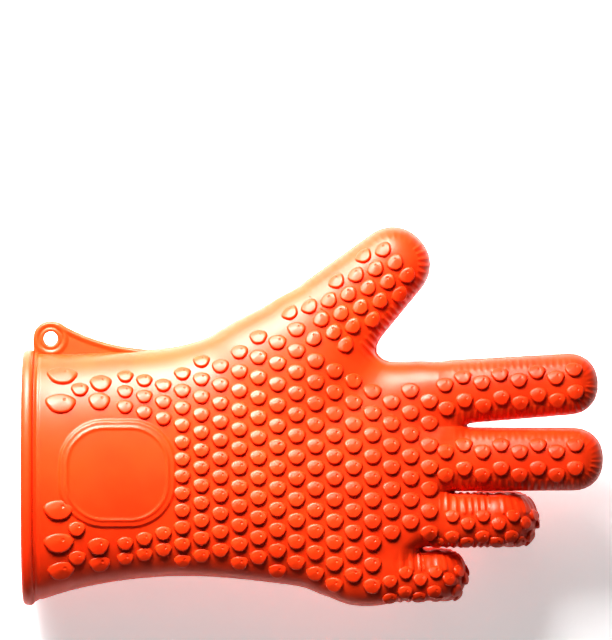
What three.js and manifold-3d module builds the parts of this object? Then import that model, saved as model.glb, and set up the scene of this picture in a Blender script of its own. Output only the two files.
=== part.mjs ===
// A heat resistant silicone grill glove for a right hand, lying palm down with its ring and little fingers curled.
// Millimetres. The glove is drawn in its own hand frame (+X to the fingertips, +Y to the thumb, +Z out of the
// back of the hand), then tipped about Y until its rim and its curled fingers stand on the ground plane z = 0.
// The real glove is one hollow moulding. It is drawn as the stiff lengths between its flex lines, which turn on
// hinges, and as the flex sleeves at those lines, which crease and stretch.
import * as THREE from "three";
import { mergeVertices } from "three/addons/utils/BufferGeometryUtils.js";
import Module from "manifold-3d";

const wasm = await Module();
wasm.setup();

// Driving dimensions
const WALL = 2.2; // moulded skin and its grip pips, as one plain wall
const GAP = 0.35; // clearance between neighbouring stretches of the moulding
const FINGER_SIDES = 16;
const PALM_SIDES = 28;
const ROUNDNESS = 2.4; // superellipse exponent of every cross-section
const PIVOT_DEPTH = -7; // hinges lie this far to the palm side of a finger's centre line
const TIP_RINGS = 4;
const SLEEVE_RINGS = 4;
const DEG = Math.PI / 180;

// Each finger: where its tube leaves the hand, its direction, half width and half depth there and at its tip,
// where its three hinges lie and where it ends, measured along the finger from its root, and half the length
// of each flex sleeve. rest holds the hinge angles of the shape it was set down in, positive to the palm.
const FINGERS = {
  index: { root: [62, 32.7], yaw: 4, half: [15, 12.8], tip: [14, 12.2], hinges: [6, 26, 49], end: 70.5,
    flex: [5.6, 6.2, 4.2], rest: [0, 0, 0] },
  middle: { root: [62, 1.3], yaw: 0, half: [14.9, 12.8], tip: [14.5, 12.3], hinges: [6, 27, 51], end: 72.8,
    flex: [5.6, 6.2, 4.2], rest: [0, 0, 0] },
  ring: { root: [58, -27.3], yaw: 0, half: [12.9, 12.6], tip: [12.5, 12], hinges: [6, 28.5, 51], end: 70.5,
    flex: [5.6, 6.2, 4.2], rest: [8, 90, 45] },
  little: { root: [36, -53.7], yaw: 0, half: [12.2, 11.8], tip: [11.6, 11.2], hinges: [4.6, 18, 37], end: 54.5,
    flex: [4.3, 5.6, 4], rest: [12, 90, 45] },
};
const THUMB = { root: [7.5, 66.5], yaw: 43, half: [22.6, 15.6], tip: [15.3, 13], hinges: [6, 27], end: 56,
  flex: [5.2, 6.2], rest: [0, 0] };

// Stations along X: x, lowest y, highest y, half depth
const GAUNTLET = [
  [-134, -66.2, 51.6, 30.5],
  [-128, -64.2, 51.2, 29.4],
  [-118, -61, 51, 28],
  [-100, -57, 51.6, 25.8],
  [-82, -54.6, 52.6, 24.2],
  [-64.4, -53.6, 54.6, 23],
];
const PALM = [
  [-50.4, -53.9, 58.6, 22.2],
  [-38, -54.8, 63, 21.6],
  [-22, -56.6, 63, 20.8],
  [-6, -59, 59, 20],
  [6, -63, 54.5, 19.2],
  [17, -66.8, 50.5, 18.5],
  [29, -66, 48.4, 17.4],
  [35, -40.5, 47.6, 16.4],
  [46, -40, 46, 14.6],
  [53, -30, 40, 12.4],
  [57.6, -14, 30, 9],
];
const WRIST_HINGE = -57.4; // x of the wrist's flex line
// The thumb's root, from deep in the palm to its opening: distance along the thumb, half width, half depth
const THUMB_ROOT = [
  [-46, 32, 18.5],
  [-26, 29.3, 18],
  [-13, 26.8, 17],
  [0, 22.9, 15.8],
];
const RIM = { x0: -138, x1: -134.4, out: 1.6, in: 2.8 }; // the bead round the mouth, and its reach past the sleeve
const TAB = { thick: 3, eye: [-125.2, 58.2], eyeRadius: 3.3, bossRadius: 8.3, foot: -85 };

const orange = new THREE.MeshStandardMaterial({ color: 0xff5a2a, roughness: 0.45, metalness: 0 });
const deepOrange = new THREE.MeshStandardMaterial({ color: 0xf04a1e, roughness: 0.5, metalness: 0 });

// A point on a superellipse of half sizes w and d
function sectionPoint(w, d, turn) {
  const c = Math.cos(turn);
  const s = Math.sin(turn);
  const power = 2 / ROUNDNESS;
  return [w * Math.sign(c) * Math.abs(c) ** power, d * Math.sign(s) * Math.abs(s) ** power];
}

// A ring: centre, its width and depth directions, and half sizes
function ring(centre, across, out, w, d) {
  return { centre, across, out, w, d };
}

// One ring's points
function ringPoints({ centre, across, out, w, d }, sides) {
  return Array.from({ length: sides }, (_, i) => {
    const [u, v] = sectionPoint(w, d, (i / sides) * 2 * Math.PI);
    return centre.clone().addScaledVector(across, u).addScaledVector(out, v);
  });
}

// A closed surface through rows of points of equal length, each row joined to the next and the last to the
// first. A row that is a single point closes an end.
function skinOf(rows, closed) {
  const points = rows.flat();
  const starts = [];
  rows.reduce((n, row) => (starts.push(n), n + row.length), 0);
  const faces = [];
  const count = closed ? rows.length : rows.length - 1;
  for (let r = 0; r < count; r++) {
    const next = (r + 1) % rows.length;
    const [a, b] = [rows[r].length, rows[next].length];
    for (let i = 0; i < Math.max(a, b); i++) {
      const j = i + 1;
      const p = starts[r] + (i % a);
      const q = starts[r] + (j % a);
      const s = starts[next] + (j % b);
      const t = starts[next] + (i % b);
      if (a > 1) faces.push(p, q, s);
      if (b > 1) faces.push(p, s, t);
    }
  }
  const geometry = new THREE.BufferGeometry().setFromPoints(points);
  geometry.setIndex(faces);
  return geometry;
}

// A solid through the rings, capped flat at both ends
function loft(rings, sides) {
  const rows = rings.map((r) => ringPoints(r, sides));
  return skinOf([[rings[0].centre], ...rows, [rings.at(-1).centre]], false);
}

// A hollow tube through the rings, open at both ends
function tube(rings, sides) {
  const inner = rings.map((r) => ({ ...r, w: r.w - WALL, d: r.d - WALL })).reverse();
  return skinOf([...rings, ...inner].map((r) => ringPoints(r, sides)), true);
}

// A hollow cap: an open ring at one end and a dome at the other. rings runs from the mouth to the dome's foot.
function cap(rings, reach, sides) {
  const foot = rings.at(-1);
  const along = foot.across.clone().cross(foot.out);
  const dome = (inset) => {
    const rows = [];
    for (let i = 1; i < TIP_RINGS; i++) {
      const turn = (i / TIP_RINGS) * 0.5 * Math.PI;
      const centre = foot.centre.clone().addScaledVector(along, (reach - inset) * Math.sin(turn));
      const shrink = Math.cos(turn);
      rows.push(ringPoints({ ...foot, centre, w: (foot.w - inset) * shrink, d: (foot.d - inset) * shrink }, sides));
    }
    return [...rows, [foot.centre.clone().addScaledVector(along, reach - inset)]];
  };
  const outer = [...rings.map((r) => ringPoints(r, sides)), ...dome(0)];
  const inside = rings.map((r) => ringPoints({ ...r, w: r.w - WALL, d: r.d - WALL }, sides));
  const inner = [...inside, ...dome(WALL)].reverse();
  const rows = [...outer, ...inner];
  const geometry = skinOf(rows.slice(0, outer.length), false);
  const lining = skinOf(inner, false);
  const mouth = skinOf([inner.at(-1), outer[0]], false);
  return joined([geometry, lining, mouth]);
}

// Several open surfaces as one geometry
function joined(surfaces) {
  const points = [];
  const faces = [];
  for (const s of surfaces) {
    const start = points.length;
    const position = s.getAttribute("position");
    for (let i = 0; i < position.count; i++) points.push(new THREE.Vector3().fromBufferAttribute(position, i));
    for (const f of s.index.array) faces.push(f + start);
  }
  const geometry = new THREE.BufferGeometry().setFromPoints(points);
  geometry.setIndex(faces);
  return geometry;
}

function solidOf(geometry) {
  const bare = new THREE.BufferGeometry().setAttribute("position", geometry.getAttribute("position"));
  bare.setIndex(geometry.index);
  const merged = mergeVertices(bare, 1e-4);
  const mesh = { numProp: 3, vertProperties: merged.attributes.position.array };
  return new wasm.Manifold(new wasm.Mesh({ ...mesh, triVerts: new Uint32Array(merged.index.array) }));
}

function geometryOf(solid) {
  const mesh = solid.getMesh();
  const geometry = new THREE.BufferGeometry();
  geometry.setAttribute("position", new THREE.BufferAttribute(new Float32Array(mesh.vertProperties), 3));
  geometry.setIndex(new THREE.BufferAttribute(new Uint32Array(mesh.triVerts), 1));
  return geometry;
}

function union(geometries) {
  return geometries.map(solidOf).reduce((a, b) => a.add(b));
}

function named(name, geometry, material = orange) {
  const mesh = new THREE.Mesh(geometry, material);
  mesh.name = name;
  geometry.computeVertexNormals();
  return mesh;
}

const UP = new THREE.Vector3(0, 0, 1);
const ACROSS = new THREE.Vector3(0, 1, 0);

// A ring square to X, for a station of x, lowest y, highest y and half depth, shrunk by inset
function stationRing([x, low, high, depth], inset = 0) {
  const centre = new THREE.Vector3(x, (low + high) / 2, 0);
  return ring(centre, ACROSS, UP, (high - low) / 2 - inset, depth - inset);
}

// A finger's outline: half width and half depth at a distance from its root
function fingerSize(f, s) {
  const t = Math.min(Math.max(s / f.end, 0), 1);
  return [f.half[0] + (f.tip[0] - f.half[0]) * t, f.half[1] + (f.tip[1] - f.half[1]) * t];
}

// Rings square to a finger, between two distances from its root, seen from the hinge at distance s0
function fingerRings(f, from, to, steps, s0) {
  return Array.from({ length: steps + 1 }, (_, i) => {
    const s = from + ((to - from) * i) / steps;
    const [w, d] = fingerSize(f, s);
    return ring(new THREE.Vector3(s - s0, 0, -PIVOT_DEPTH), ACROSS, UP, w, d);
  });
}

// The flex sleeve over hinge k, seen from that hinge: it turns from 0 to the rest angle as it runs
function flexSleeve(f, k) {
  const reach = f.flex[k] - GAP;
  const rings = [];
  for (let i = 0; i <= SLEEVE_RINGS; i++) {
    const t = i / SLEEVE_RINGS;
    const turn = new THREE.Matrix4().makeRotationY(f.rest[k] * DEG * t);
    const along = reach * (2 * t - 1);
    const [w, d] = fingerSize(f, f.hinges[k] + along);
    const centre = new THREE.Vector3(along, 0, -PIVOT_DEPTH).applyMatrix4(turn);
    rings.push(ring(centre, ACROSS, UP.clone().applyMatrix4(turn), w, d));
  }
  return tube(rings, FINGER_SIDES);
}

// A finger or thumb: a chain of nested groups, one for each hinge, with a sleeve before each stiff length
function digit(name, f, sleeveNames, lengthNames) {
  const base = new THREE.Group();
  base.position.set(f.root[0], f.root[1], 0);
  base.rotation.z = f.yaw * DEG;
  let parent = base;
  let from = 0;
  f.hinges.forEach((s, k) => {
    const at = new THREE.Group();
    at.position.set(s - from, 0, k ? 0 : PIVOT_DEPTH);
    at.name = `${name}_${sleeveNames[k]}_hinge`;
    const turned = new THREE.Group();
    turned.rotation.y = f.rest[k] * DEG;
    parent.add(at);
    at.add(named(`${name}_${sleeveNames[k]}_flex`, flexSleeve(f, k), deepOrange), turned);
    const start = s + f.flex[k];
    const last = k === f.hinges.length - 1;
    const stop = last ? f.end - f.tip[0] : f.hinges[k + 1] - f.flex[k + 1];
    const rings = fingerRings(f, start, stop, last ? 2 : 1, s);
    const shape = last ? cap(rings, f.end - stop, FINGER_SIDES) : tube(rings, FINGER_SIDES);
    turned.add(named(`${name}_${lengthNames[k]}`, shape));
    parent = turned;
    from = s;
  });
  return base;
}

// The tube of a digit inside the hand, from a depth behind its root to its root plane or a little past it
function rootStub(f, back, past, inset) {
  const place = new THREE.Matrix4().makeRotationZ(f.yaw * DEG).setPosition(f.root[0], f.root[1], 0);
  const rings = [-back, past].map((s) => {
    const [w, d] = fingerSize(f, Math.max(s, 0));
    return ring(new THREE.Vector3(s, 0, 0), ACROSS, UP, w - inset, d - inset);
  });
  return loft(rings, FINGER_SIDES).applyMatrix4(place);
}

function thumbRoot(past, inset) {
  const place = new THREE.Matrix4().makeRotationZ(THUMB.yaw * DEG).setPosition(THUMB.root[0], THUMB.root[1], 0);
  const rings = THUMB_ROOT.map(([s, w, d], i) => {
    const end = i === THUMB_ROOT.length - 1;
    return ring(new THREE.Vector3(s + (end ? past : 0), 0, 0), ACROSS, UP, w - inset, d - inset);
  });
  return loft(rings, FINGER_SIDES).applyMatrix4(place);
}

// The hollow hand, open at the wrist, at the four finger roots and at the thumb root
function handShell() {
  const stubDepth = 18;
  const cut = 5; // how far the cavity runs out past each opening
  const part = (inset, past) => {
    const palm = PALM.map((s) => stationRing(s, inset));
    if (inset) palm[0].centre.x -= cut;
    const stubs = Object.values(FINGERS).map((f) => rootStub(f, stubDepth, past, inset));
    return union([loft(palm, PALM_SIDES), ...stubs, thumbRoot(past, inset)]);
  };
  return geometryOf(part(0, 0).subtract(part(WALL, cut)));
}

function wristSleeve() {
  const [gauntletEnd, palmStart] = [GAUNTLET.at(-1), PALM[0]];
  const rings = [gauntletEnd, palmStart].map((s, i) => stationRing([s[0] + (i ? -GAP : GAP), ...s.slice(1)]));
  return tube(rings, PALM_SIDES);
}

// The bead round the mouth: thicker than the sleeve behind it, inside and out
function rim() {
  const [, low, high, depth] = GAUNTLET[0];
  const size = (grow) => [low - grow, high + grow, depth + grow];
  const soft = 0.9;
  const edge = (x, grow) => ringPoints(stationRing([x, ...size(grow)]), PALM_SIDES);
  const outer = [edge(RIM.x0, RIM.out - soft), edge(RIM.x0 + soft, RIM.out), edge(RIM.x1, RIM.out)];
  const inner = [edge(RIM.x1, -RIM.in), edge(RIM.x0 + soft, -RIM.in), edge(RIM.x0, soft - RIM.in)];
  return skinOf([...outer, ...inner], true);
}

// Height of the gauntlet's thumb side edge at x
function gauntletEdge(x) {
  const after = GAUNTLET.findIndex((s) => s[0] >= x);
  const [a, b] = [GAUNTLET[Math.max(after - 1, 0)], GAUNTLET[Math.max(after, 1)]];
  return a[2] + ((b[2] - a[2]) * (x - a[0])) / (b[0] - a[0]);
}

// The hanging tab: a flat web from the rim to the sleeve's edge with an eye in its corner
function hangTab() {
  const [ex, ey] = TAB.eye;
  const clear = 0.5;
  const start = RIM.x1 + GAP;
  const shape = new THREE.Shape();
  shape.moveTo(start, gauntletEdge(start) + clear);
  for (const [x] of GAUNTLET.slice(1, 4)) shape.lineTo(x, gauntletEdge(x) + clear);
  shape.lineTo(TAB.foot, gauntletEdge(TAB.foot) + clear);
  const [bx, by] = [ex + TAB.bossRadius * Math.cos(60 * DEG), ey + TAB.bossRadius * Math.sin(60 * DEG)];
  shape.quadraticCurveTo(-105, 54.6, bx, by);
  shape.absarc(ex, ey, TAB.bossRadius, 60 * DEG, 180 * DEG, false);
  shape.lineTo(start, ey);
  const eye = new THREE.Path();
  eye.absarc(ex, ey, TAB.eyeRadius, 0, 2 * Math.PI, true);
  shape.holes.push(eye);
  const options = { depth: TAB.thick, bevelEnabled: false, curveSegments: 10 };
  const plate = new THREE.ExtrudeGeometry(shape, options).translate(0, 0, -TAB.thick / 2);
  return plate;
}

const hand = new THREE.Group();
hand.add(named("hand_shell", handShell()));
for (const [name, f] of Object.entries(FINGERS)) {
  hand.add(digit(name, f, ["base", "middle", "end"], ["base_length", "middle_length", "fingertip"]));
}
hand.add(digit("thumb", THUMB, ["base", "end"], ["base_length", "tip"]));
hand.add(named("wrist_flex", wristSleeve(), deepOrange));
const wrist = new THREE.Group();
wrist.name = "wrist_hinge";
wrist.position.set(WRIST_HINGE, 0, 0);
hand.add(wrist);
const gauntlet = new THREE.Group();
gauntlet.add(named("gauntlet_sleeve", tube(GAUNTLET.map((s) => stationRing(s)), PALM_SIDES)));
gauntlet.add(named("cuff_rim", rim(), deepOrange), named("hang_tab", hangTab(), deepOrange));
hand.add(gauntlet);

// Lowest point of an object once the glove is tipped by an angle about Y
function lowest(object, tip) {
  hand.rotation.y = tip;
  hand.updateMatrixWorld(true);
  return new THREE.Box3().setFromObject(object, true).min.z;
}

// The tip that puts the rim and the curled ring finger on one plane, by halving
function restingTip() {
  let [low, high] = [-20 * DEG, 0];
  const ringFinger = hand.getObjectByName("ring_base_hinge");
  for (let i = 0; i < 40; i++) {
    const mid = (low + high) / 2;
    if (lowest(gauntlet, mid) < lowest(ringFinger, mid)) low = mid;
    else high = mid;
  }
  return (low + high) / 2;
}

hand.rotation.y = restingTip();
hand.updateMatrixWorld(true);
const box = new THREE.Box3().setFromObject(hand, true);
const centre = box.getCenter(new THREE.Vector3());
hand.position.set(-centre.x, -centre.y, -box.min.z);

const glove = new THREE.Group();
glove.add(hand);

export default glove;
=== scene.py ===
# Heat resistant silicone glove: the shown skin over the imported model.
# The skin is drawn in millimetres in the glove's own hand frame: +X to the fingertips, +Y to the thumb and
# +Z out of the back of the hand. It is a signed distance field turned into a mesh, with a separate stud mesh
# laid on it, and it is cut into a cuff, a hand and pieces along each digit.
import math
import bpy
import numpy as np
import openvdb
from mathutils import Matrix, Vector


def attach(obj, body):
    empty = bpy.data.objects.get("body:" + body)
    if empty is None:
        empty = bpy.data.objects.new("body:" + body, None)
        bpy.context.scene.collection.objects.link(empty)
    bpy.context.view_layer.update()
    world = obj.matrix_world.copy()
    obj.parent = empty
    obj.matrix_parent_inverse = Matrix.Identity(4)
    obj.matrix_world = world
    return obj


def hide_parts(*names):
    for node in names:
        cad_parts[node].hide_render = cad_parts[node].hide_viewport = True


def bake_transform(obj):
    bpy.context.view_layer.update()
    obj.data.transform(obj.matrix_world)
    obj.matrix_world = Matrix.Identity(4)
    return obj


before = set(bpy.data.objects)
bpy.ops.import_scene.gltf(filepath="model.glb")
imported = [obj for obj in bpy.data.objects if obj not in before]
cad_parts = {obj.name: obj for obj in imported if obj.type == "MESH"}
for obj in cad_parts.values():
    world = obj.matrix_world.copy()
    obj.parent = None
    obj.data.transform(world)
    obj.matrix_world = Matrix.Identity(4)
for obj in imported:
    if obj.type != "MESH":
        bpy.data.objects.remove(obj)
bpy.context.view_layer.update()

# ---- driving dimensions, in millimetres in the hand frame ----
TIP = math.radians(-5.861)  # how far the hand frame is tipped about Y on the ground
ORIGIN = np.array([3.185, -21.390, 45.932])  # the hand frame's origin in the row frame
PIVOT_DEPTH = -7.0  # hinges lie this far to the palm side of a finger's centre line
STUD = 1.75  # height of the studs above the skin
WALL = 1.9  # skin without its studs
SEAM_RISE = 0.5  # the fine seam line round the palm's and the digits' sides
SEAM_WIDTH = 0.75
RIB_PITCH = 3.1  # of the fine ribs down the sides of the digits
RIB_RISE = {"curled": 0.7, "straight": 0.42}
RIB_BAND = 6.2  # the ribs reach this far in from a digit's side
SECTION_POWER = {"digit": 2.25, "body": 2.3, "rim": 2.35}  # superellipse exponents of the sections
VOXEL = 0.75
COARSE = 3  # fine voxels along one coarse voxel
SIDE_INSET = 0.3  # the seam line stands this far out of the fingers' and the palm's sides
CUFF_END = -133.4  # the outer skin stops here, inside the rim
LINING_END = -135.4
CUFF_CUT = -47.0  # the skin is cut into a cuff and a hand here

# Digits: where each leaves the hand, its direction, half width and depth there and at its tip, its hinges
# from its root, half the length that each hinge bends, the angles it was set down at, its end, and the cuts
# between its pieces.
DIGITS = {
    "index": dict(root=(62, 32.7), yaw=4, half=(15, 12.8), tip=(14, 12.2), hinges=(6, 26, 49),
                  flex=(5.6, 6.2, 4.2), rest=(0, 0, 0), end=70.5, cuts=(0, 15.7, 38.5)),
    "middle": dict(root=(62, 1.3), yaw=0, half=(14.9, 12.8), tip=(14.5, 12.3), hinges=(6, 27, 51),
                   flex=(5.6, 6.2, 4.2), rest=(0, 0, 0), end=72.8, cuts=(0, 16.2, 40)),
    "ring": dict(root=(58, -27.3), yaw=0, half=(12.9, 12.6), tip=(12.5, 12), hinges=(6, 28.5, 51),
                 flex=(5.6, 6.2, 4.2), rest=(8, 90, 45), end=70.5, cuts=(2, 16.9, 40.7)),
    "little": dict(root=(36, -53.7), yaw=0, half=(12.2, 11.8), tip=(11.6, 11.2), hinges=(4.6, 18, 37),
                   flex=(4.3, 5.6, 4), rest=(12, 90, 45), end=54.5, cuts=(4, 11.5, 28)),
    "thumb": dict(root=(7.5, 66.5), yaw=43, half=(22.6, 15.6), tip=(15.3, 13), hinges=(6, 27),
                  flex=(5.2, 6.2), rest=(0, 0), end=56, cuts=(0, 15.5)),
}
# The curled fingers are rolled about their length
ROLL = {"ring": math.radians(-24), "little": math.radians(-24)}
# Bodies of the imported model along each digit, from the hand to the tip
CHAINS = {name: ["hand"] + [f"{name}_{part}" for part in ("base_length", "middle_length", "fingertip")]
          for name in ("index", "middle", "ring", "little")}
CHAINS["thumb"] = ["hand", "thumb_base_length", "thumb_tip"]
STAGES = {3: ("base", "middle", "end"), 2: ("base", "end")}

# Stations of the cuff and palm along X: x, lowest y, highest y, half depth
BODY = np.array([
    [-134, -66.2, 51.6, 30.5], [-128, -64.2, 51.2, 29.4], [-118, -61, 51, 28], [-100, -57, 51.6, 25.8],
    [-82, -54.6, 52.6, 24.2], [-64.4, -53.6, 54.6, 23], [-50.4, -53.9, 58.6, 22.2], [-38, -54.8, 63, 21.6],
    [-22, -56.6, 63, 20.8], [-6, -59, 59, 20], [6, -63, 54.5, 19.2], [17, -66.8, 50.5, 18.5],
    [29, -66.5, 48.0, 17.4], [40, -64, 46.2, 15.8], [52, -62, 45.6, 13.6], [62, -60, 45, 11.5]])
# Where the web between the fingers ends: y, x
WEB = np.array([
    [-70, 34], [-58, 37], [-46, 42], [-40, 47], [-33, 54], [-20, 59], [-2, 61], [10, 63], [16, 68], [24, 66],
    [34, 61], [50, 52]])
# The thumb inside the hand: distance along it, half width, half depth
THUMB_FLARE = np.array([[-60, 24, 13], [-42, 27.5, 15], [-26, 27.8, 16.5], [-13, 26, 16.6], [0, 22.6, 15.8]])
PLAQUE = dict(centre=(-93, -5), half=(27, 25), corner=21, rise=0.9)

LENS = 300
FRAME_SIZE = 301.6  # the longer side of what the picture takes in, at the hand's middle plane
PICTURE_CENTRE = (-4.9, 66.9)
MM = 0.001


def row(points):
    """Points of the hand frame, in millimetres, as points of the row frame, in metres."""
    p = np.asarray(points, float)
    c, s = math.cos(TIP), math.sin(TIP)
    turned = np.stack([c * p[..., 0] + s * p[..., 2], p[..., 1], c * p[..., 2] - s * p[..., 0]], -1)
    return (turned + ORIGIN) * MM


def turn_to_row(vectors):
    """Directions of the hand frame as directions of the row frame."""
    return (row(vectors) - row(np.zeros(3))) / MM


def smooth(x, table):
    """The columns of a table at x, as smooth curves through its rows."""
    xs = table[:, 0]
    i = np.clip(np.searchsorted(xs, x) - 1, 0, len(xs) - 2)
    width = xs[i + 1] - xs[i]
    t = np.clip((x - xs[i]) / width, 0, 1)
    out = []
    for column in table[:, 1:].T:
        slope = np.gradient(column, xs)
        a = (2 * t**3 - 3 * t**2 + 1) * column[i] + (t**3 - 2 * t**2 + t) * width * slope[i]
        b = (3 * t**2 - 2 * t**3) * column[i + 1] + (t**3 - t**2) * width * slope[i + 1]
        out.append(a + b)
    return out


def step(t):
    t = np.clip(t, 0, 1)
    return t * t * (3 - 2 * t)


def blend_min(a, b, k):
    """The lower of two distances, with the corner between them filled to about a radius k."""
    h = np.clip(0.5 + 0.5 * (b - a) / k, 0, 1)
    return b + (a - b) * h - k * h * (1 - h)


def oval(terms, sizes, power):
    """Distance to a superellipsoid, good near its surface."""
    scaled = [np.abs(t) / s for t, s in zip(terms, sizes)]
    q = np.maximum(sum(v**power for v in scaled), 1e-6) ** (1 / power)
    slope = sum((v ** (power - 1) / s) ** 2 for v, s in zip(scaled, sizes))
    return (q - 1) * q ** (power - 1) / np.sqrt(np.maximum(slope, 1e-9))


# ---- digits ----
def bend(d, s, n):
    """A point s along a digit and n above its centre line, in its plane, with its joints at rest."""
    a, c = np.array(s, float), np.array(n, float)
    reach = np.array(s, float)
    for h, r, rest in reversed(list(zip(d["hinges"], d["flex"], d["rest"]))):
        turn = np.radians(rest) * np.clip((reach - h + r) / (2 * r), 0, 1)
        x, z = a - h, c - PIVOT_DEPTH
        a = x * np.cos(turn) + z * np.sin(turn) + h
        c = -x * np.sin(turn) + z * np.cos(turn) + PIVOT_DEPTH
    return a, c


def turn_at(d, s):
    """How far a digit has turned from the plane of the hand by a distance s along it, in radians."""
    total = np.zeros_like(np.asarray(s, float))
    for h, r, rest in zip(d["hinges"], d["flex"], d["rest"]):
        total = total + np.radians(rest) * np.clip((s - h + r) / (2 * r), 0, 1)
    return total


def directions(d):
    yaw = math.radians(d["yaw"])
    return np.array([math.cos(yaw), math.sin(yaw), 0]), np.array([-math.sin(yaw), math.cos(yaw), 0])


def place(d, s, v, n):
    """Hand frame points at s along a digit, v across it and n above its centre line."""
    along, across = directions(d)
    a, c = bend(d, s, n)
    base = np.array([*d["root"], 0.0]) + np.multiply.outer(a, along) + np.multiply.outer(v, across)
    base[..., 2] += c
    return base


def chart(d, p):
    """s, v and n of hand frame points."""
    along, across = directions(d)
    rel = p - np.array([*d["root"], 0.0], p.dtype)
    a, v, c = rel @ along.astype(p.dtype), rel @ across.astype(p.dtype), p[:, 2]
    if not any(d["rest"]):
        return a, v, c
    marks = np.arange(-30, d["end"] + 12, 1.5)
    ca, cc = bend(d, marks, np.zeros_like(marks))
    best = np.full(len(p), 1e9, p.dtype)
    s, n = np.zeros_like(best), np.zeros_like(best)
    for i in range(len(marks) - 1):
        ua, uc = ca[i + 1] - ca[i], cc[i + 1] - cc[i]
        length = math.hypot(ua, uc)
        ua, uc = ua / length, uc / length
        t = np.clip(((a - ca[i]) * ua + (c - cc[i]) * uc) / length, 0, 1)
        da, dc = a - ca[i] - t * length * ua, c - cc[i] - t * length * uc
        far = np.hypot(da, dc)
        near = far < best
        best = np.where(near, far, best)
        s = np.where(near, marks[i] + 1.5 * t, s)
        n = np.where(near, far * np.sign(ua * dc - uc * da), n)
    return s, v, n


def digit_field(name, p, detail):
    """Distance of points to a digit's surface, and their s, v and n."""
    d = DIGITS[name]
    s, v, n = chart(d, p)
    t = np.clip(s / d["end"], 0, 1)
    w = d["half"][0] + (d["tip"][0] - d["half"][0]) * t - SIDE_INSET
    depth = d["half"][1] + (d["tip"][1] - d["half"][1]) * t - STUD
    if name == "thumb":
        flare_w, flare_d = smooth(np.clip(s, -60, 0), THUMB_FLARE)
        w = np.where(s < 0, flare_w - SIDE_INSET, w)
        depth = np.where(s < 0, flare_d - STUD, depth)
    else:
        w = w + 0.12 * np.clip(s + 4, -30, 0)
        depth = depth + 0.12 * np.clip(s + 4, -30, 0)
    end = d["end"] - d["tip"][0]
    back = -20 if name != "thumb" else -40
    cap = np.maximum(s - end, 0) + np.maximum(back - s, 0)
    f = oval((v, n, cap), (w, depth, d["tip"][0] - SIDE_INSET), SECTION_POWER["digit"])
    if detail:
        roll = ROLL.get(name, 0.0) * step((s + 8) / 16)
        side = v * np.cos(roll) - n * np.sin(roll)
        rise = v * np.sin(roll) + n * np.cos(roll)
        past = np.maximum(s - end, 0)
        path = np.where(s < end, s, end + 13 * np.arctan2(past, np.abs(side) + 1e-3))
        f = f - 1.1 * SEAM_RISE * np.exp(-((rise / SEAM_WIDTH) ** 2)) * step((s + 4) / 8)
        band = step((np.abs(rise) - 0.9) / 1.0) * step((np.hypot(side, past) - (w - RIB_BAND)) / 1.8)
        wave = (0.5 + 0.5 * np.cos(2 * np.pi * path / RIB_PITCH)) ** 1.5
        height = RIB_RISE["curled"] if name in ROLL else RIB_RISE["straight"] - 0.3 * step(v / 6 + 0.5)
        f = f - height * band * step((s + 2) / 5) * wave
    return f, s, v, n


def plaque_edge(p):
    """Distance of points to the outline of the plaque on the cuff, negative inside it."""
    q = np.abs(p[:, :2] - np.array(PLAQUE["centre"])) - np.array(PLAQUE["half"]) + PLAQUE["corner"]
    return np.hypot(*np.maximum(q, 0).T) + np.minimum(q.max(1), 0) - PLAQUE["corner"]


def body_field(p, detail):
    """Distance of points to the surface of the cuff and palm."""
    low, high, depth = smooth(p[:, 0], BODY)
    f = oval((p[:, 1] - (low + high) / 2, p[:, 2]), ((high - low) / 2 - SIDE_INSET, depth - STUD),
             SECTION_POWER["body"])
    if detail:
        f = f - SEAM_RISE * np.exp(-((p[:, 2] / SEAM_WIDTH) ** 2))
        edge = plaque_edge(p)
        f = f - PLAQUE["rise"] * step(-edge / 1.6 + 0.5)
        f = f - 0.45 * np.exp(-(((edge + 3.4) / 0.8) ** 2))
        f = f + 0.5 * np.exp(-(((p[:, 0] + 130.6) / 0.8) ** 2))
    web = p[:, 0] - np.interp(p[:, 1], WEB[:, 0], WEB[:, 1])
    return -blend_min(-f, -web, 9)


def field(p, detail=False):
    """Distance of hand frame points to the glove's outer skin."""
    p = np.asarray(p, np.float32)
    body = body_field(p, detail)
    total = body.copy()
    for name, d in DIGITS.items():
        a = (p - np.array([*d["root"], 0], np.float32)) @ directions(d)[0].astype(np.float32)
        v = (p - np.array([*d["root"], 0], np.float32)) @ directions(d)[1].astype(np.float32)
        reach = 90 if name == "thumb" else 40
        here = (a > -reach) & (np.abs(v) < d["half"][0] + (24 if name == "thumb" else 12))
        if not here.any():
            continue
        f, *_ = digit_field(name, p[here], detail)
        k = 13 if name == "thumb" else 7
        total[here] = np.minimum(total[here], blend_min(body[here], f, k))
    return total


def slope(p, detail=False, e=0.12):
    """Outward unit normals of the field, and its steepness."""
    steps = [e * axis for axis in np.eye(3)]
    g = np.stack([field(p + d, detail) - field(p - d, detail) for d in steps], -1) / (2 * e)
    size = np.maximum(np.linalg.norm(g, axis=1, keepdims=True), 1e-4)
    return g / size, size[:, 0]


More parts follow.
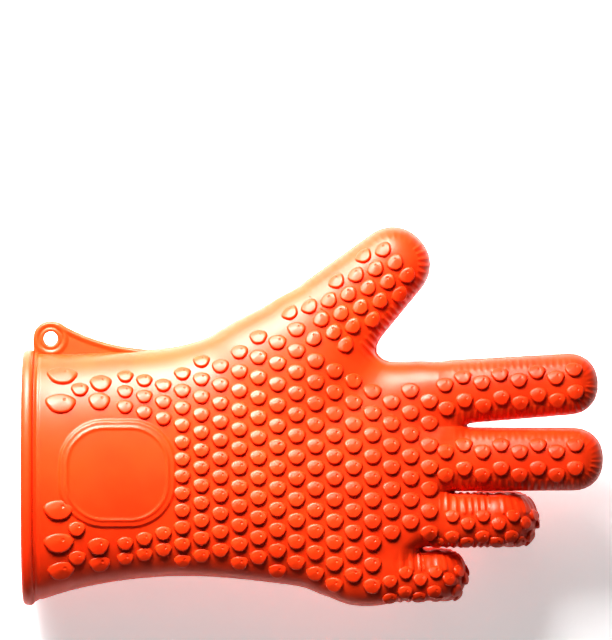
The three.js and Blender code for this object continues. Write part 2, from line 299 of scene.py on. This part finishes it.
def surface(voxel, detail, level, low, high):
    """The field's level surface as points and quads."""
    big = voxel * COARSE
    counts = [int(math.ceil((h - l) / big)) for l, h in zip(low, high)]
    axes = [l + big * (np.arange(n) + 0.5) for l, n in zip(low, counts)]
    centres = np.stack(np.meshgrid(*axes, indexing="ij"), -1).reshape(-1, 3)
    rough = field(centres).reshape(counts) - level
    fine = np.clip(rough, -3, 3)
    for axis in range(3):
        fine = np.repeat(fine, COARSE, axis)
    near = np.argwhere(np.abs(rough) < big * 1.25 + 0.8)
    steps = np.stack(np.meshgrid(*[np.arange(COARSE)] * 3, indexing="ij"), -1).reshape(-1, 3)
    cells = (near[:, None] * COARSE + steps[None]).reshape(-1, 3)
    points = np.array(low) + voxel * (cells + 0.5)
    fine[tuple(cells.T)] = field(points, detail) - level
    grid = openvdb.FloatGrid()
    grid.copyFromArray(np.ascontiguousarray(fine, np.float32))
    verts, quads = grid.convertToQuads(isovalue=0.0)
    verts = np.array(low) + voxel * (verts + 0.5)
    for _ in range(2):
        normal, size = slope(verts, detail)
        verts = verts - normal * np.clip((field(verts, detail) - level) / size, -voxel, voxel)[:, None]
    normal, _ = slope(verts, detail)
    return verts, quads.astype(int), normal


# ---- pieces ----
def zone_of(p):
    """The piece that each point belongs to: cuff, hand, or a digit and the number of its stretch."""
    names = ["cuff", "hand"]
    best = np.full(len(p), 2.5)
    zone = np.where(p[:, 0] < CUFF_CUT, 0, 1)
    p = np.asarray(p, np.float32)
    for name, d in DIGITS.items():
        f, s, v, n = digit_field(name, p, False)
        mine = (f < best) & (s >= d["cuts"][0]) & (np.abs(n) < 20)
        if name == "thumb":
            mine &= p[:, 1] > 44
        best = np.where(mine, f, best)
        for i, cut in enumerate(d["cuts"]):
            names.append(f"{name}_{STAGES[len(d['cuts'])][i]}")
            zone = np.where(mine & (s >= cut), len(names) - 1, zone)
    return zone, names


# ---- studs ----
STUD_SIDES = 18
STUD_HALF = (3.65, 3.1)  # half length and half width of a stud at scale 1
DIMPLE = (1.0, 1.1)
COLUMN_PITCH = 8.9  # between the palm's columns of studs
COLUMN_START = -89.5
# Distance between studs along a column: x, distance
ROW_PITCH = np.array([[-89.5, 7.1], [-50, 8.4], [-15, 9.9], [53, 10.3]])
# Large studs next to the rim: x, y, scale
RIM_STUDS = [(-119, 41, 1.9), (-119.5, 28, 1.9), (-110.7, 34.5, 1.1), (-101, 37.4, 1.35), (-101.5, 29, 1.35),
             (-120.4, -21.7, 1.9), (-120.4, -37.2, 1.9), (-119.5, -50.4, 1.7), (-112, -30.5, 1.1),
             (-112, -44.2, 1.1), (-102, -29.5, 1.35), (-102, -38.8, 1.35), (-101.5, -47.2, 1.3)]


def stud_rings():
    """A softly lobed stud, low on its +v side: rings of (u, v, height) from its foot to its dimple."""
    phi = np.arange(STUD_SIDES) / STUD_SIDES * 2 * np.pi
    lobes = 1 + 0.055 * np.cos(3 * (phi - 1.5 * np.pi)) + 0.02 * np.cos(5 * (phi - 0.5 * np.pi))
    outline = np.stack([STUD_HALF[0] * lobes * np.cos(phi), STUD_HALF[1] * lobes * np.sin(phi)], -1)
    circle = np.stack([np.cos(phi), np.sin(phi)], -1)
    rings = [np.column_stack([outline * grow, np.full(STUD_SIDES, height)])
             for grow, height in ((1.08, -0.4), (1.03, 0.15), (0.99, 0.85), (0.92, 1.35), (0.78, 1.65))]
    for radius, height in ((0.62, STUD), (0.42, 1.3)):
        rings.append(np.column_stack([circle * radius + DIMPLE, np.full(STUD_SIDES, height)]))
    rings = np.concatenate(rings + [[[*DIMPLE, 1.1]]])
    fall = 1 - 0.6 * step((rings[:, 1] + 1.2) / 4.2)
    rings[:, 2] = np.where(rings[:, 2] > 0, rings[:, 2] * fall, rings[:, 2])
    return rings


def stud_faces():
    n = STUD_SIDES
    rings = (len(stud_rings()) - 1) // n
    faces = [(r * n + i, r * n + (i + 1) % n, (r + 1) * n + (i + 1) % n, (r + 1) * n + i)
             for r in range(rings - 1) for i in range(n)]
    last = (rings - 1) * n
    faces += [(last + i, last + (i + 1) % n, last + n, last + n) for i in range(n)]
    return np.array(faces)


def lift(origin, out, reach):
    """Where the lines from each origin along out leave the glove, and whether they do."""
    t = np.array(reach, float)
    for _ in range(7):
        here = field(origin + out * t[:, None])
        ahead = field(origin + out * (t[:, None] + 0.2))
        rate = np.clip((ahead - here) / 0.2, 0.25, 2)
        t = t - np.clip(here / rate, -4, 4)
    p = origin + out * t[:, None]
    return p, np.abs(field(p)) < 0.12


def site(origin, out, along, scale, reach, name):
    return dict(origin=np.array(origin, float), out=np.array(out, float), along=np.array(along, float),
                scale=scale, reach=reach, name=name)


def hand_sites(side):
    """Studs on one side of the cuff and palm: staggered columns, with large studs next to the rim."""
    marks = list(RIM_STUDS)
    for k in range(17):
        x = COLUMN_START + COLUMN_PITCH * k
        pitch = float(np.interp(x, *ROW_PITCH.T))
        count = int(150 / pitch)
        for j in range(-count // 2, count // 2 + 1):
            y = -2 + pitch * (j + 0.5 * (k % 2))
            marks.append((x, y, 0.7 + 0.045 * pitch))
    marks = np.array(marks)
    flat = np.column_stack([marks[:, :2], np.zeros(len(marks))])
    inside = -field(flat)
    high = smooth(marks[:, 0], BODY)[1]
    band = np.where(marks[:, 1] > high - 15, 9.5, 5.6)
    keep = (inside > band) | (np.arange(len(marks)) < len(RIM_STUDS))
    keep &= plaque_edge(marks) > 3.2
    for name, d in DIGITS.items():
        s, v, _ = chart({**d, "rest": (0,) * len(d["rest"])}, flat)
        start = -12 if name == "thumb" else -3
        keep &= ~((s > start) & (np.abs(v) < d["half"][0] + 1))
    depth = smooth(marks[:, 0], BODY)[2]
    return [site((x, y, 0), (0, 0, side), (1, 0, 0), scale, h, "cuff" if x < CUFF_CUT else "hand")
            for (x, y, scale), h, k in zip(marks, depth, keep) if k]


def digit_sites(name, side):
    """Studs on one side of a digit: staggered columns, evenly spaced over its surface."""
    d = DIGITS[name]
    fine = np.arange(-12 if name == "thumb" else -1.5, d["end"] - d["tip"][0] + 6.0, 0.1)
    top = place(d, fine, np.zeros_like(fine), np.full_like(fine, side * 11.0))
    run = np.concatenate([[0], np.cumsum(np.linalg.norm(np.diff(top, axis=0), axis=1))])
    pitch, scale = (7.3, 0.95) if name in ROLL else (8.7, 1.1)
    along, across = directions(d)
    roll = ROLL.get(name, 0.0)
    sites = []
    for k in range(int(run[-1] / pitch) + 1):
        s = float(np.interp(pitch * k, run, fine))
        half = d["half"][0] + (d["tip"][0] - d["half"][0]) * max(s, 0) / d["end"]
        if name == "thumb":
            marks = (np.arange(-3, 4) + 0.5 * (k % 2)) * 8.2
        else:
            marks = 0.37 * half * np.array([1, -1]) + (1.6 if k % 2 else -1.6)
        past = max(s - d["end"] + d["tip"][0], 0)
        for v in marks:
            if math.hypot(v, past) > half - 5.6:
                continue
            turn = float(turn_at(d, s))
            out = np.array([0, 0, math.cos(turn)]) + along * math.sin(turn)
            ahead = along * math.cos(turn) - np.array([0, 0, math.sin(turn)])
            stage = sum(s >= cut for cut in d["cuts"]) - 1
            piece = "hand" if stage < 0 else f"{name}_{STAGES[len(d['cuts'])][stage]}"
            lean = out * math.cos(roll) + across * math.sin(roll)
            shift = across * math.cos(roll) - out * math.sin(roll)
            origin = place(d, s, 0.0, 0.0) + v * shift
            sites.append(site(origin, lean * side, ahead, scale, d["half"][1], piece))
    return sites


def lay_studs():
    """Every stud's points and faces, the name of each stud's piece, and how many faces one stud has."""
    sites = [s for side in (1, -1) for s in hand_sites(side)]
    sites += [s for side in (1, -1) for name in DIGITS for s in digit_sites(name, side)]
    origin = np.array([s["origin"] for s in sites])
    out = np.array([s["out"] for s in sites])
    along = np.array([s["along"] for s in sites])
    centre, ok = lift(origin, out, np.array([s["reach"] for s in sites]))
    normal, _ = slope(centre)
    ok &= (normal * out).sum(1) > 0.6
    kept = []
    for i in np.flatnonzero(ok):
        gap = 6.9 if sites[i]["scale"] < 1.2 else 5.0
        if not kept or np.linalg.norm(centre[kept] - centre[i], axis=1).min() > gap:
            kept.append(i)
    kept = np.array(kept)
    origin, out, along = origin[kept], normal[kept], along[kept]
    along = along - out * (along * out).sum(1, keepdims=True)
    along /= np.linalg.norm(along, axis=1, keepdims=True)
    across = np.cross(out, along)
    across *= np.where(across[:, 1:2] < 0, -1, 1)
    scale = np.array([sites[i]["scale"] for i in kept])
    rings, faces = stud_rings(), stud_faces()
    m = len(rings)
    u = rings[None, :, 0] * scale[:, None]
    v = rings[None, :, 1] * np.minimum(scale, 1.5)[:, None]
    flat = centre[kept][:, None] + u[..., None] * along[:, None] + v[..., None] * across[:, None]
    outs = np.repeat(out[:, None], m, 1).reshape(-1, 3)
    foot, _ = lift(flat.reshape(-1, 3) - outs * 2, outs, np.full(len(outs), 2.0))
    n, _ = slope(foot)
    high = np.tile(rings[:, 2], len(kept))
    points = foot + n * high[:, None]
    quads = (faces[None] + (np.arange(len(kept)) * m)[:, None, None]).reshape(-1, 4)
    a, b, c = points[quads[:, 0]], points[quads[:, 1]], points[quads[:, 2]]
    flip = (np.cross(b - a, c - a) * n[quads[:, 0]]).sum(1).reshape(len(kept), -1).sum(1) < 0
    flip = np.repeat(flip, len(faces))
    quads = np.where(flip[:, None], quads[:, [0, 3, 2, 1]], quads)
    return points, quads, [sites[i]["name"] for i in kept], len(faces)


def vertex_normals(points, quads):
    """Normals of a mesh's points, each face weighted by its area."""
    a, b, c, d = (points[quads[:, i]] for i in range(4))
    face = np.cross(c - a, d - b)
    total = np.zeros_like(points)
    for i in range(4):
        np.add.at(total, quads[:, i], face)
    return total / np.maximum(np.linalg.norm(total, axis=1, keepdims=True), 1e-9)


def mesh_object(name, points, quads, normals):
    """An object from hand frame points and quads. A quad that repeats its last corner is a triangle."""
    triangle = quads[:, 2] == quads[:, 3]
    counts = np.where(triangle, 3, 4)
    corner = np.ones(quads.shape, bool)
    corner[triangle, 3] = False
    loops = quads[corner]
    starts = np.concatenate([[0], np.cumsum(counts)[:-1]])
    mesh = bpy.data.meshes.new(name)
    mesh.vertices.add(len(points))
    mesh.vertices.foreach_set("co", row(points).astype(np.float32).ravel())
    mesh.loops.add(len(loops))
    mesh.loops.foreach_set("vertex_index", loops.astype(np.int32))
    mesh.polygons.add(len(starts))
    mesh.polygons.foreach_set("loop_start", starts.astype(np.int32))
    mesh.update(calc_edges=True)
    mesh.validate()
    mesh.polygons.foreach_set("use_smooth", np.ones(len(mesh.polygons), bool))
    turned = turn_to_row(normals)
    turned /= np.maximum(np.linalg.norm(turned, axis=1, keepdims=True), 1e-9)
    mesh.normals_split_custom_set_from_vertices(turned.tolist())
    made = bpy.data.objects.new(name, mesh)
    bpy.context.scene.collection.objects.link(made)
    return made


# ---- material ----
def node(tree, kind, **values):
    made = tree.nodes.new(kind)
    for key, value in values.items():
        if hasattr(made, key):
            setattr(made, key, value)
        else:
            made.inputs[key.replace("_", " ")].default_value = value
    return made


def silicone():
    """Satin moulded silicone: slightly translucent, with cloudy colour, a mould grain and uneven gloss."""
    made = bpy.data.materials.new("silicone_rubber")
    made.use_nodes = True
    tree = made.node_tree
    skin = tree.nodes["Principled BSDF"]
    where = node(tree, "ShaderNodeTexCoord")
    cloud = node(tree, "ShaderNodeTexNoise", Scale=28.0, Detail=3.0)
    grain = node(tree, "ShaderNodeTexNoise", Scale=900.0, Detail=2.0)
    smear = node(tree, "ShaderNodeTexNoise", Scale=90.0, Detail=4.0)
    colour = node(tree, "ShaderNodeValToRGB")
    colour.color_ramp.elements[0].color = (0.78, 0.054, 0.007, 1)
    colour.color_ramp.elements[1].color = (0.88, 0.072, 0.010, 1)
    colour.color_ramp.elements[0].position = 0.35
    colour.color_ramp.elements[1].position = 0.65
    rough = node(tree, "ShaderNodeMapRange", To_Min=0.34, To_Max=0.46)
    bump = node(tree, "ShaderNodeBump", Strength=0.12, Distance=0.0002)
    for texture in (cloud, grain, smear):
        tree.links.new(where.outputs["Object"], texture.inputs["Vector"])
    tree.links.new(cloud.outputs["Fac"], colour.inputs["Fac"])
    tree.links.new(colour.outputs["Color"], skin.inputs["Base Color"])
    tree.links.new(smear.outputs["Fac"], rough.inputs["Value"])
    tree.links.new(rough.outputs["Result"], skin.inputs["Roughness"])
    tree.links.new(grain.outputs["Fac"], bump.inputs["Height"])
    tree.links.new(bump.outputs["Normal"], skin.inputs["Normal"])
    skin.inputs["Subsurface Weight"].default_value = 0.15
    skin.inputs["Subsurface Radius"].default_value = (1.0, 0.25, 0.08)
    skin.inputs["Subsurface Scale"].default_value = 0.002
    skin.inputs["IOR"].default_value = 1.42
    skin.inputs["Specular IOR Level"].default_value = 0.6
    skin.inputs["Coat Weight"].default_value = 0.06
    skin.inputs["Coat Roughness"].default_value = 0.35
    return made


rubber = silicone()


def finish_piece(made):
    made.data.materials.append(rubber)
    return made


# ---- skin, lining and studs, cut into pieces ----
def build_skin():
    outer = surface(VOXEL, True, 0.0, (-136.5, -72, -58), (138, 114, 34))
    inner = surface(VOXEL * 2.4, False, -WALL, (-141, -72, -58), (138, 114, 34))
    sheets = []
    for (points, quads, normals), face_out, end in ((outer, True, CUFF_END), (inner, False, LINING_END)):
        centre = points[quads].mean(1)
        quads = quads[centre[:, 0] > end]
        if not face_out:
            quads = quads[:, ::-1]
            normals = -normals
        sheets.append((points, quads, normals))
    stud_points, stud_quads, stud_names, k = lay_studs()
    stud_normals = vertex_normals(stud_points, stud_quads)
    made = {}
    for points, quads, normals in sheets:
        zone, names = zone_of(points[quads].mean(1))
        for i, name in enumerate(names):
            mine = quads[zone == i]
            if len(mine):
                used, index = np.unique(mine, return_inverse=True)
                made.setdefault(name, []).append((points[used], index.reshape(mine.shape), normals[used]))
    stud_names = np.array(stud_names)
    for name in made:
        which = np.flatnonzero(stud_names == name)
        if len(which):
            mine = stud_quads.reshape(-1, k, 4)[which].reshape(-1, 4)
            used, index = np.unique(mine, return_inverse=True)
            made[name].append((stud_points[used], index.reshape(mine.shape), stud_normals[used]))
    pieces = {}
    for name, parts in made.items():
        shift = np.cumsum([0] + [len(p[0]) for p in parts])
        points = np.concatenate([p[0] for p in parts])
        quads = np.concatenate([p[1] + s for p, s in zip(parts, shift)])
        normals = np.concatenate([p[2] for p in parts])
        pieces[name] = finish_piece(mesh_object(f"skin_{name}", points, quads, normals))
    return pieces


pieces = build_skin()
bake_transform(pieces["cuff"])
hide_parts("gauntlet_sleeve", "wrist_flex")
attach(pieces["hand"], "hand")
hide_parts("hand_shell")
for name, d in DIGITS.items():
    for i, stage in enumerate(STAGES[len(d["cuts"])]):
        h, r = d["hinges"][i], d["flex"][i]
        first = max(h - r, d["cuts"][i])
        ends = [place(d, s, 0.0, 0.0) for s in (first, h + r)]
        piece = pieces[f"{name}_{stage}"]
        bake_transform(piece)
        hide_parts(f"{name}_{stage}_flex", CHAINS[name][i + 1])


# ---- rim ----
def cuff_oval(turn, grow, x):
    """Points of the cuff's section at x, grown outwards."""
    low, high, depth = smooth(np.full_like(turn, x), BODY)
    c, s = np.cos(turn), np.sin(turn)
    power = 2 / SECTION_POWER["rim"]
    y = (low + high) / 2 + ((high - low) / 2 + grow) * np.sign(c) * np.abs(c) ** power
    z = (depth + grow) * np.sign(s) * np.abs(s) ** power
    return np.stack([np.full_like(turn, x), y, z], -1)


def build_rim():
    """The bead round the mouth, swept round the cuff, with a fine groove in its end."""
    sides = 260
    turn = np.arange(sides) / sides * 2 * np.pi
    profile = [(-132.4, -1.1), (-132.6, 0.2), (-133.2, 0.9), (-134.2, 1.25), (-135.6, 1.3), (-136.8, 1.0),
               (-137.6, 0.4), (-137.9, -0.3), (-137.6, -0.9), (-137.5, -1.3), (-137.8, -1.8), (-137.6, -2.5),
               (-136.8, -3.1), (-135.4, -3.4), (-134.0, -3.3), (-133.2, -2.8)]
    points = np.concatenate([cuff_oval(turn, grow, max(x, -134.0)) + [min(x + 134.0, 0), 0, 0]
                             for x, grow in profile])
    n = len(profile)
    quads = np.array([(r * sides + i, r * sides + (i + 1) % sides, (r + 1) % n * sides + (i + 1) % sides,
                       (r + 1) % n * sides + i) for r in range(n) for i in range(sides)])
    normals = vertex_normals(points, quads)
    middle = points.reshape(n, sides, 3).mean(0)
    if ((points - np.tile(middle, (n, 1))) * normals).sum() < 0:
        quads, normals = quads[:, ::-1], -normals
    return finish_piece(mesh_object("rim", points, quads, normals))


rim = build_rim()
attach(rim, "gauntlet")
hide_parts("cuff_rim")

# ---- hanging tab ----
EYE = (-125.2, 58.2)
EYE_RADIUS = 3.3
BOSS_RADIUS = 8.3


def border(t):
    """The tab's concave border, from its foot on the cuff's edge to the boss round the eye."""
    foot, pull = np.array([-80.0, 51.6]), np.array([-104.0, 53.4])
    aim = math.radians(58)
    top = np.array(EYE) + (BOSS_RADIUS - 1.3) * np.array([math.cos(aim), math.sin(aim)])
    t = np.asarray(t)[:, None]
    return (1 - t) ** 2 * foot + 2 * t * (1 - t) * pull + t**2 * top


def tab_field(p):
    """Distance to the tab: a thin web, a boss round the eye and a rolled border that runs along the cuff."""
    x, y, z = p.T
    from_eye = np.hypot(x - EYE[0], y - EYE[1])
    ring = np.hypot(from_eye - (BOSS_RADIUS - 1.55), z) - 1.5
    lip = np.hypot(from_eye - (EYE_RADIUS + 0.9), z * 0.8) - 1.05
    marks = border(np.linspace(0, 1, 60))
    best = np.full(len(p), 1e9)
    for a, b in zip(marks[:-1], marks[1:]):
        ab = b - a
        t = np.clip(((p[:, :2] - a) @ ab) / (ab @ ab), 0, 1)
        best = np.minimum(best, np.hypot(*(p[:, :2] - a - t[:, None] * ab).T))
    roll = np.hypot(best, z) - 1.45
    top = np.interp(x, marks[::-1, 0], marks[::-1, 1])
    web_area = np.maximum(np.maximum(y - top, 45 - y), np.maximum(EYE[0] - x, x + 84))
    web_area = np.minimum(web_area, from_eye - (BOSS_RADIUS - 1.5))
    foot = np.maximum(np.maximum(np.abs(x - EYE[0] + 2) - 6, y - EYE[1]), 47 - y)
    web = np.maximum(np.minimum(web_area, foot), np.abs(z) - 0.85)
    f = blend_min(blend_min(web, ring, 0.8), blend_min(roll, lip, 0.4), 0.8)
    return np.maximum(f, EYE_RADIUS - from_eye)


def build_tab():
    voxel = 0.4
    low, high = np.array([-136.0, 43.0, -3.0]), np.array([-76.0, 69.0, 3.0])
    axes = [np.arange(l, h, voxel) for l, h in zip(low, high)]
    shape = [len(a) for a in axes]
    f = tab_field(np.stack(np.meshgrid(*axes, indexing="ij"), -1).reshape(-1, 3))
    grid = openvdb.FloatGrid()
    grid.copyFromArray(f.reshape(shape).astype(np.float32))
    points, quads = grid.convertToQuads(isovalue=0.0)
    points = low + voxel * points
    e = 0.1
    normals = np.stack([tab_field(points + e * a) - tab_field(points - e * a) for a in np.eye(3)], -1)
    normals /= np.maximum(np.linalg.norm(normals, axis=1, keepdims=True), 1e-9)
    return finish_piece(mesh_object("hang_tab_skin", points, quads.astype(int), normals))


tab = build_tab()
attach(tab, "gauntlet")
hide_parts("hang_tab")


# ---- studio ----
def build_studio():
    """A pale floor with a weak glow, and two soft lights from the upper left of the picture."""
    mesh = bpy.data.meshes.new("floor")
    size = 3.0
    corners = [(-size, -size, 0), (size, -size, 0), (size, size, 0), (-size, size, 0)]
    mesh.from_pydata(corners, [], [(0, 1, 2, 3)])
    floor = bpy.data.objects.new("floor", mesh)
    bpy.context.scene.collection.objects.link(floor)
    paper = bpy.data.materials.new("paper")
    paper.use_nodes = True
    sheet = paper.node_tree.nodes["Principled BSDF"].inputs
    sheet["Base Color"].default_value = (0.95, 0.95, 0.95, 1)
    sheet["Roughness"].default_value = 0.6
    sheet["Emission Color"].default_value = (1, 1, 1, 1)
    sheet["Emission Strength"].default_value = 0.36
    floor.data.materials.append(paper)
    lamps = (("key", (-0.24, 0.36, 0.25), (0, 0, 0), 3.2, 0.34, 180),
             ("softbox", (-0.2, 0.5, 0.46), (-0.12, 0.15, 0.05), 1.4, 0.38, 52))
    for name, place_at, aim, energy, size, spread in lamps:
        lamp = bpy.data.lights.new(name, "AREA")
        lamp.energy = energy
        lamp.size = size
        lamp.spread = math.radians(spread)
        made = bpy.data.objects.new(name, lamp)
        made.location = place_at
        made.visible_camera = False
        made.rotation_euler = (Vector(aim) - made.location).to_track_quat("-Z", "Y").to_euler()
        bpy.context.scene.collection.objects.link(made)
    world = bpy.data.worlds.new("studio")
    world.use_nodes = True
    world.node_tree.nodes["Background"].inputs["Color"].default_value = (1, 1, 1, 1)
    world.node_tree.nodes["Background"].inputs["Strength"].default_value = 0.07
    bpy.context.scene.world = world
    bpy.context.scene.view_settings.view_transform = "Standard"
    bpy.context.scene.view_settings.look = "High Contrast"


def build_camera():
    """Square to the back of the hand, with the thumb side up in the picture."""
    camera = bpy.data.cameras.new("camera")
    made = bpy.data.objects.new("camera", camera)
    bpy.context.scene.collection.objects.link(made)
    camera.lens = LENS
    camera.sensor_width = 36
    distance = FRAME_SIZE * LENS / camera.sensor_width
    made.location = row((*PICTURE_CENTRE, distance))
    made.rotation_euler = Matrix(turn_to_row(np.eye(3)).T.tolist()).to_euler()
    camera.clip_end = 10
    bpy.context.scene.camera = made


build_studio()
build_camera()
